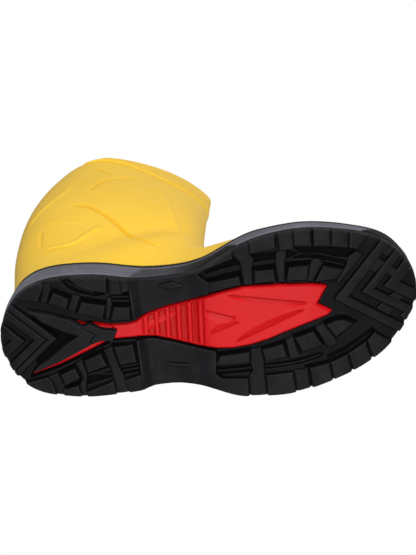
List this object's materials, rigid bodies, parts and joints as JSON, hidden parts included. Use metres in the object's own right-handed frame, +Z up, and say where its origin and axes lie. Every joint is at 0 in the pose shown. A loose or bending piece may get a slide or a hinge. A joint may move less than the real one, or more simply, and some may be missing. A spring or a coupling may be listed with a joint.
{
  "type": "deck boot",
  "caption": "Tall moulded deck boot for wet decks: one-piece upper on a cushioned midsole, lugged outsole and a ribbed arch inlay.",
  "frame": {"origin": "centre of the bounding box at the ground plane, under the sole", "axes": "+Z up from the sole to the rim, toe along -Y, medial side -X, lateral side +X"},
  "size_m": [0.1226, 0.3188, 0.336],
  "materials": {
    "black_rubber": "moulded black rubber, satin, fine mould texture",
    "black_arrow": "moulded black rubber, satin",
    "red_inlay": "injection-moulded red TPU, semi-gloss",
    "grey_foam": "moulded dark grey polyurethane, satin",
    "yellow_upper": "moulded yellow polyurethane skin, satin with fine orange peel",
    "knit_lining": "fine knitted polyester",
    "fibre_board": "pressed non-woven board",
    "footbed_foam": "open-cell foam",
    "footbed_textile": "woven textile cover",
    "gel_pad": "soft gel"
  },
  "bodies": {
    "root": {"outsole": "black_rubber", "heel_arrow": "black_arrow", "shank_inlay": "red_inlay", "midsole": "grey_foam", "upper": "yellow_upper", "lining": "knit_lining", "insole_board": "fibre_board", "footbed": "footbed_foam", "footbed_cover": "footbed_textile", "heel_pad": "gel_pad"}
  },
  "joints": []
}
